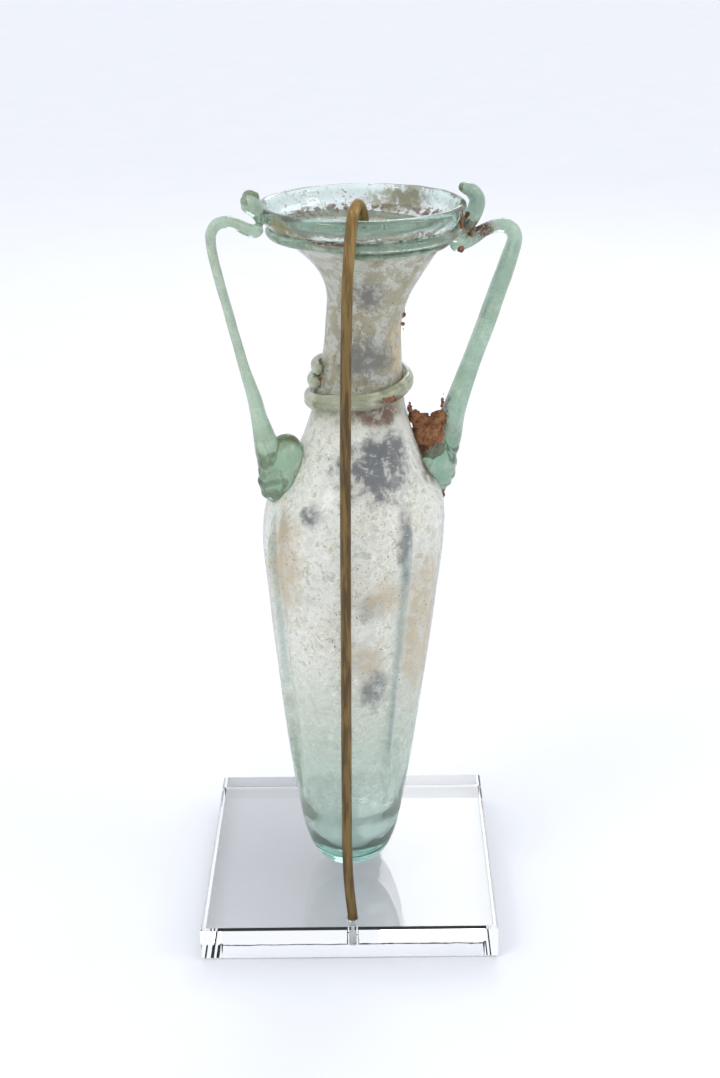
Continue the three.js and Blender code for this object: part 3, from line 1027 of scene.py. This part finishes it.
@dataclass
class MouthTrail:
    """The thick thread laid round the funnel under the lip."""

    start: float = -15.0
    turns: float = 1.3
    thin: float = 0.75
    thick: float = 1.25
    low: float = 177.9
    high: float = 180.6
    bite: float = 0.85
    steps: int = 620

    def dress(self) -> None:
        """Build and finish the thread."""
        def radius(share: float) -> float:
            """Give the thread's radius from the share along it."""
            return self.thin + (self.thick - self.thin) * float(smoothstep(share, 0.1, 0.5))

        def height(share: float) -> float:
            """Give the thread's height from the share along it."""
            return self.low + (self.high - self.low) * float(smoothstep(share, 0.18, 0.62))

        vertices, faces = wound(
            self.start, 360 * self.turns, height, lambda share: radius(share) * self.bite,
            lambda share: (radius(share), radius(share)), self.steps,
        )
        piece = mesh_piece("mouth_thread", FLASK.placed(vertices), faces)
        pushed(piece, lambda places, _: 0.1 * waves(places, 5.0, 3.0))
        finish = TrailGlass(
            "mouth_thread_glass", rgba(132, 156, 130), rgba(76, 102, 80), stretch=(4, 4, 1), body=0.5,
            soil_spots=((FLASK.spot(62, 24, 179), (6, 6, 2.2)), (FLASK.spot(-20, 24, 181.6), (8, 4, 0.9))),
        )
        dress(piece, finish.material(), "green_glass", "mouth_trail")


@dataclass
class NeckTrail:
    """The flat grooved thread wound round the foot of the neck, with its loose tail."""

    start: float = -62.0
    turns: float = 1.42
    reach: float = 1.3
    half_height: float = 2.1
    half_thick: float = 1.5
    heights: tuple = ((146.2, 0), (145.2, 0.3), (142, 0.58), (139.7, 0.83), (137.5, 1.08), (137, 1.42))
    steps: int = 520
    around: int = 56
    groove_depth: float = 0.085
    grooves: int = 6
    tail_sweep: float = -70
    tail_height: float = 142.4
    tail_half: float = 1.6
    tail_steps: int = 90

    def dress(self) -> None:
        """Build and finish the thread and its tail."""
        def half(share: float) -> tuple[float, float]:
            """Give the thread's half-sizes from the share along it."""
            grow = 0.75 + 0.25 * float(smoothstep(share, 0, 0.3))
            grow *= 1 - 0.4 * float(smoothstep(share, 0.85, 1))
            return self.half_thick * grow, self.half_height * grow

        def groove(share: float, angle: float) -> float:
            """Give the grooves' depth from the share along the thread and the angle round it."""
            crest = max(0.0, math.cos(self.grooves * angle + 0.4 * math.sin(9 * share)))
            return -self.groove_depth * crest ** 2

        main = wound(
            self.start, -360 * self.turns, lambda share: eased(self.heights, share * self.turns),
            lambda _: self.reach, half, self.steps, self.around, groove,
        )
        tail = wound(
            self.start - 3, self.tail_sweep, lambda _: self.tail_height, lambda _: self.reach,
            lambda _: (self.tail_half, self.tail_half), self.tail_steps,
        )
        vertices, faces = joined([main, tail])
        piece = mesh_piece("neck_thread", FLASK.placed(vertices), faces)
        pushed(piece, lambda places, _: 0.12 * waves(places, 4.0, 5.0))
        finish = TrailGlass(
            "neck_thread_glass", rgba(176, 178, 148), rgba(124, 126, 94), stretch=(5, 5, 0.7), body=0.66,
            soil_spots=(
                (FLASK.spot(38, 13, 139.6), (7, 4, 1.1)), (FLASK.spot(70, 13, 136), (5, 5, 1.6)),
                (FLASK.spot(-52, 12, 144.2), (3, 3, 1.2)),
            ),
        )
        dress(piece, finish.material(), "green_glass", "neck_trail")


# ------------------------------------------------------------------ handles

@dataclass
class Handle:
    """A handle drawn up from a pad on the shoulder, bent in under the lip, with a thumb-piece."""

    name: str
    node: str
    azimuth: float
    breadth: float
    leg: tuple
    thumb: tuple
    fold: tuple
    thumb_breadth: float
    pad_reach: float
    pad_height: float
    pad_half: tuple[float, float, float]
    pad_tilt: float
    finish: TrailGlass
    voxel: float = 0.28
    per_span: int = 14
    limb_around: int = 28
    pad_rings: int = 24
    pad_around: int = 40
    crease_depth: float = 0.17
    crease_width: float = 1.7

    def limb(self, stations: tuple, breadth: float) -> tuple[np.ndarray, list]:
        """Sweep one limb through (reach, height, half-size) stations."""
        rows = rounded_curve(stations, self.per_span)
        line = np.c_[rows[:, 0], np.zeros(len(rows)), rows[:, 1]]
        halves = np.c_[rows[:, 2] * breadth, rows[:, 2]]
        return strand(line, np.tile((0.0, 1.0, 0.0), (len(rows), 1)), halves, self.limb_around)

    def pad(self) -> tuple[np.ndarray, list]:
        """Make the pad where the handle was pressed on."""
        angles = np.linspace(0, math.pi, self.pad_rings + 2)[1:-1]
        turn = np.linspace(0, 2 * math.pi, self.pad_around, endpoint=False)
        rings = np.array([
            np.c_[np.sin(a) * np.cos(turn), np.sin(a) * np.sin(turn), np.full(self.pad_around, np.cos(a))]
            for a in angles
        ])
        vertices, faces = skin(rings, (0, 0, 1), (0, 0, -1))
        tilt = Matrix.Rotation(math.radians(-self.pad_tilt), 3, "Y")
        vertices = np.array([tilt @ Vector(point * np.array(self.pad_half)) for point in vertices])
        return vertices + (self.pad_reach, 0, self.pad_height), faces

    def wrinkles(self, places: np.ndarray) -> np.ndarray:
        """Give concentric creases over the pad's lower half and soft drawing lines elsewhere."""
        middle = np.array(FLASK.spot(self.azimuth, self.pad_reach + 2.5, self.pad_height + 1.0))
        away = np.linalg.norm((places - middle) / (1.0, 1.0, 1.15), axis=1)
        near = 1 - smoothstep(np.linalg.norm(places - middle, axis=1), 7.0, 12.0)
        lower = 1 - smoothstep(places[:, 2], middle[2] - 1.0, middle[2] + 5.0)
        bend = 0.9 * waves(places, 4.0, 7.0)
        creases = np.sin(2 * math.pi * (away + bend) / self.crease_width)
        drawn = 0.1 * waves(places / (1, 1, 3), 2.2, 9.0)
        return near * lower * self.crease_depth * creases + drawn

    def dress(self) -> None:
        """Build, melt together and finish the handle."""
        parts = [self.limb(self.leg, self.breadth), self.limb(self.thumb, self.thumb_breadth), self.pad()]
        if self.fold:
            parts.append(self.limb(self.fold, self.thumb_breadth))
        vertices, faces = joined(parts)
        turn = Matrix.Rotation(math.radians(self.azimuth - 90), 3, "Z")
        vertices = np.array([turn @ Vector(point) for point in vertices])
        piece = melted(mesh_piece(self.name, FLASK.placed(vertices), faces), self.voxel, 5)
        pushed(piece, lambda places, _: self.wrinkles(places))
        dress(piece, self.finish.material(), "green_glass", self.node)


def left_handle() -> Handle:
    """Give the left handle's sizes and finish."""
    return Handle(
        "left_handle_glass", "left_handle", -72, 1.2,
        leg=(
            (21.2, 116, 2.6), (23.2, 123, 3.3), (24.6, 129, 2.9), (25.9, 134, 2.2), (27.3, 140, 1.85),
            (29.8, 148, 1.4), (33.6, 162.2, 1.2), (35.8, 170.5, 1.2), (37.8, 179.7, 1.3), (37.7, 182.3, 1.4),
            (36.1, 184.4, 1.45), (33.5, 184.7, 1.5), (31, 183.8, 1.5), (28.9, 182.6, 1.6), (26.8, 182, 1.6),
            (25.1, 183.1, 1.4),
        ),
        thumb=(
            (24.9, 183.4, 1.2), (26, 186, 1.7), (27.6, 188.3, 2.4), (29.3, 189.4, 2.2), (30.4, 189.7, 1.5),
        ),
        fold=((26, 189.3, 1.4), (27.7, 190.3, 1.6), (29.9, 189.9, 1.7)),
        thumb_breadth=1.15, pad_reach=20.4, pad_height=120.6, pad_half=(5.7, 5.0, 9.2), pad_tilt=14,
        finish=TrailGlass(
            "left_handle_finish", rgba(160, 174, 136), rgba(72, 94, 58), body=0.42, tilt=-0.3,
            seams=((FLASK.spot(-72, 24.4, 128), FLASK.spot(-72, 36.6, 178), 0.7),),
            deep_spots=((FLASK.spot(-72, 23, 119), (7, 7, 9)), (FLASK.spot(-72, 27.5, 188), (3, 3, 3))),
            soil_spots=((FLASK.spot(-72, 18, 128), (2.6, 3, 1.8)),),
        ),
    )


def right_handle() -> Handle:
    """Give the right handle's sizes and finish."""
    return Handle(
        "right_handle_glass", "right_handle", 100, 1.15,
        leg=(
            (22.4, 116, 2.6), (24, 123, 3.2), (25.2, 131.6, 3.1), (26.5, 136, 2.8), (29.1, 144, 2.5),
            (32.2, 153, 2.45), (35.2, 162.5, 2.35), (37.9, 171, 2.2), (39.2, 176.3, 1.95),
            (38.4, 178.3, 1.85), (36.4, 179.6, 1.8), (34, 179.5, 1.7), (31.2, 178.6, 1.7),
            (28.3, 176.9, 1.8), (25.3, 175.5, 1.8), (22.6, 175.6, 1.6),
        ),
        thumb=(
            (22.9, 176, 1.6), (25.7, 179.3, 2), (28.3, 182.9, 2.1), (29.1, 186.1, 2), (27.6, 188.5, 1.8),
            (25.4, 189.4, 1.4), (24.2, 189.2, 1),
        ),
        fold=(), thumb_breadth=1.35, pad_reach=20.8, pad_height=119.6, pad_half=(5.6, 5.4, 9.6), pad_tilt=10,
        finish=TrailGlass(
            "right_handle_finish", rgba(154, 178, 148), rgba(64, 96, 70), body=0.42, tilt=0.36,
            deep_spots=((FLASK.spot(100, 24, 122), (6, 7, 12)), (FLASK.spot(100, 27, 187), (4, 4, 4))),
            soil_spots=(
                (FLASK.spot(100, 28, 179.4), (6.0, 5, 3.4)), (FLASK.spot(100, 22.5, 131), (2.2, 4, 9)),
                (FLASK.spot(100, 24, 110), (2.5, 4, 3.4)),
            ),
        ),
    )


# ------------------------------------------------------------------ earth

@dataclass
class Earth:
    """The clump lodged above the right handle's pad, and the crumbs in the creases."""

    seed: int = 7
    voxel: float = 0.2
    scatter: float = 0.45
    grain_sizes: tuple[float, float] = (0.22, 0.6)
    clump_azimuth: float = 95
    clump: tuple = (
        (18.4, 126.6, 4.2), (16.6, 130.0, 2.5), (14.8, 131.4, 1.8), (20.4, 129.6, 2.6), (19.6, 123.4, 3.0),
        (21.4, 131.2, 1.7), (17.4, 122.6, 2.2),
    )
    beds: tuple = (
        (100, 26.0, 178.6, 3.0, 1.0, 26), (100, 23.6, 111.0, 1.2, 2.4, 16),
        (96, 21.6, 133.0, 0.9, 3.0, 14), (98, 25.6, 181.4, 1.6, 1.8, 30),
        (34, 13.6, 140.4, 3.4, 0.5, 16), (78, 13.4, 135.4, 2.4, 0.9, 14), (74, 25.4, 184.0, 1.6, 1.4, 12),
        (70, 24.0, 177.0, 2.6, 0.7, 14), (84, 9.9, 158.0, 0.8, 2.4, 8), (-54, 12.6, 144.2, 0.9, 0.7, 6),
    )

    def ball(self, centre: Sequence[float], radius: float) -> tuple[np.ndarray, list]:
        """Make one rounded grain."""
        work = bmesh.new()
        bmesh.ops.create_icosphere(work, subdivisions=2, radius=radius)
        vertices = np.array([vertex.co[:] for vertex in work.verts]) + centre
        faces = [tuple(vertex.index for vertex in face.verts) for face in work.faces]
        work.free()
        return vertices, faces

    def dress(self) -> None:
        """Build and finish the clump and the crumbs."""
        finish = BurialEarth().material()
        vertices, faces = joined(
            self.ball(along_azimuth(self.clump_azimuth, reach, height), radius)
            for reach, height, radius in self.clump
        )
        clump = melted(mesh_piece("earth_clump", FLASK.placed(vertices), faces), self.voxel, 1)
        pushed(clump, lambda places, _: 0.5 * waves(places, 2.4, 2.0) + 0.5 * waves(places, 1.0, 4.0))
        pushed(clump, lambda places, _: 0.28 * waves(places, 0.5, 5.0))
        dress(clump, finish, "burial_earth", "earth_lump")
        chance = np.random.default_rng(self.seed)
        crumbs = []
        for azimuth, reach, height, spread, rise, count in self.beds:
            for _ in range(count):
                sideways, up, out = chance.normal(0, self.scatter, 3)
                turn = azimuth + math.degrees(sideways * spread / reach)
                at = along_azimuth(turn, reach + 0.4 * out, height + up * rise * 1.6)
                centre = (at[0] + FLASK.shift(height), at[1], at[2])
                crumbs.append(self.ball(centre, chance.uniform(*self.grain_sizes)))
        vertices, faces = joined(crumbs)
        grit = melted(mesh_piece("earth_crumbs", FLASK.placed(vertices), faces), self.voxel, 1)
        pushed(grit, lambda places, _: 0.14 * waves(places, 0.8, 6.0))
        dress(grit, finish, "burial_earth")


# ------------------------------------------------------------------ the stand

@dataclass
class HookStand:
    """The bent brass rod and the lining of the hole that it stands in."""

    radius: float = 1.35
    foot: tuple[float, float] = (0.9, -35.0)
    hole_floor: float = 2.8
    block_top: float = 9.8
    fit_gap: float = 0.3
    lining_clear: float = 0.06
    lining_inset: float = 0.3
    sides: int = 32
    per_span: int = 16
    line: tuple = (
        (0.9, -35, 3.1), (0.9, -35, 9.8), (0.2, -34.6, 18), (-0.2, -34.3, 28), (-0.1, -34, 45),
        (0.6, -33.6, 95), (1.2, -33.3, 136), (2, -32.9, 169.3), (2.7, -32.6, 186), (3.6, -32.45, 196),
        (4.3, -31.7, 199.9), (5.2, -29.5, 201.2), (6, -27.2, 199.6), (6.4, -26.2, 197), (6.5, -26.1, 195.2),
    )

    def rod(self) -> bpy.types.Object:
        """Sweep the rod from its foot to the hook's tip."""
        line = rounded_curve(self.line, self.per_span)
        halves = np.full((len(line), 2), self.radius)
        across = np.tile((1.0, 0.0, 0.0), (len(line), 1))
        vertices, faces = strand(line, across, halves, self.sides)
        piece = mesh_piece("hook_rod_brass", vertices, faces)
        pushed(piece, lambda places, _: 0.04 * waves(places / (1, 1, 3), 3.0, 8.0))
        return piece

    def lining(self) -> bpy.types.Object:
        """Make the thin sleeve between the rod and the hole's wall."""
        inner, outer = self.radius + self.lining_clear, self.radius + self.fit_gap - self.lining_clear
        bottom, top = self.hole_floor + self.lining_inset, self.block_top - self.lining_inset
        section = ((inner, bottom), (outer, bottom), (outer, top), (inner, top))
        angles = np.linspace(0, 2 * math.pi, self.sides, endpoint=False)
        x, y = self.foot
        rings = [
            np.c_[x + radius * np.cos(angles), y + radius * np.sin(angles), np.full(self.sides, level)]
            for radius, level in section
        ]
        faces = []
        for i in range(len(section)):
            here, above = i * self.sides, (i + 1) % len(section) * self.sides
            for j in range(self.sides):
                k = (j + 1) % self.sides
                faces.append((here + j, here + k, above + k, above + j))
        return mesh_piece("hole_lining", np.vstack(rings), faces)

    def dress(self) -> None:
        """Build and finish the rod and the lining, and finish the block's own solid."""
        dress(self.rod(), AgedBrass().material(), "aged_brass", "hook_rod")
        dress(self.lining(), DrillFrost().material(), "clear_acrylic")
        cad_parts["acrylic_block"].data.materials[0] = ClearAcrylic().material()


# ------------------------------------------------------------------ the studio

@dataclass
class Studio:
    """The camera, the lights and the pale floor.

    The eye and the floor are in millimetres; a lamp is its name, its place and width in metres, and
    its power in watts.
    """

    eye: tuple[float, float, float] = (8.174, -406.69, 273.006)
    yaw: float = -0.563
    pitch: float = 22.312
    roll: float = -0.925
    lens: float = 54.72
    sensor: float = 36.0
    clip: tuple[float, float] = (0.01, 50.0)
    lamps: tuple = (
        ("key", (-0.55, -0.5, 0.8), 0.26, 1.6),
        ("fill", (0.8, -0.3, 0.6), 0.3, 1.0),
        ("back", (0.15, 0.75, 0.6), 0.3, 0.9),
    )
    aim: tuple[float, float, float] = (0, 0, 0.1)
    sky: tuple = (0.94, 0.96, 1.0, 1)
    sky_strength: float = 1.05
    floor_tones: tuple = (rgba(236, 238, 244), rgba(242, 243, 247))
    floor_half: float = 12000.0
    floor_level: float = -0.15

    def camera(self) -> None:
        """Place the camera."""
        yaw, pitch, roll = (math.radians(value) for value in (self.yaw, self.pitch, self.roll))
        ahead = Vector((math.sin(yaw) * math.cos(pitch), math.cos(yaw) * math.cos(pitch), -math.sin(pitch)))
        right = Vector((math.cos(yaw), -math.sin(yaw), 0))
        up = right.cross(ahead)
        turned_right = right * math.cos(roll) + up * math.sin(roll)
        turned_up = up * math.cos(roll) - right * math.sin(roll)
        data = bpy.data.cameras.new("camera")
        data.sensor_width = self.sensor
        data.sensor_fit = "AUTO"
        data.lens = self.lens
        data.clip_start, data.clip_end = self.clip
        camera = bpy.data.objects.new("camera", data)
        axes = Matrix((turned_right, turned_up, -ahead)).transposed().to_4x4()
        camera.matrix_world = Matrix.Translation(Vector(self.eye) * MM) @ axes
        bpy.context.scene.collection.objects.link(camera)
        bpy.context.scene.camera = camera

    def light(self, name: str, place: Sequence[float], size: float, power: float) -> None:
        """Hang one soft square light that faces the flask."""
        data = bpy.data.lights.new(name, "AREA")
        data.size = size
        data.energy = power
        lamp = bpy.data.objects.new(name, data)
        lamp.location = place
        lamp.rotation_euler = (Vector(self.aim) - Vector(place)).to_track_quat("-Z", "Y").to_euler()
        bpy.context.scene.collection.objects.link(lamp)

    def dress(self) -> None:
        """Set the world, the lights, the camera and the floor."""
        scene = bpy.context.scene
        scene.view_settings.view_transform = "Standard"
        world = bpy.data.worlds.new("studio")
        world.use_nodes = True
        background = world.node_tree.nodes["Background"]
        background.inputs["Color"].default_value = self.sky
        background.inputs["Strength"].default_value = self.sky_strength
        scene.world = world
        self.camera()
        for lamp in self.lamps:
            self.light(*lamp)
        half = self.floor_half
        corners = np.array([(-half, -half), (half, -half), (half, half), (-half, half)], dtype=float)
        corners = np.c_[corners, np.full(4, self.floor_level)]
        floor = mesh_piece("floor", corners, [(0, 1, 2, 3)])
        bench = Bench("pale_floor")
        colour = bench.blend(*self.floor_tones, bench.cloud(60.0, 3.0))
        floor.data.materials.append(bench.finish(bench.surface(Base_Color=colour, Roughness=0.6)))


def main() -> None:
    """Build the whole scene."""
    logging.basicConfig(level=logging.INFO, format="%(message)s")
    Studio().dress()
    VESSEL.dress()
    MouthTrail().dress()
    NeckTrail().dress()
    left_handle().dress()
    right_handle().dress()
    Earth().dress()
    HookStand().dress()
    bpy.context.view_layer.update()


if __name__ == "__main__":
    main()
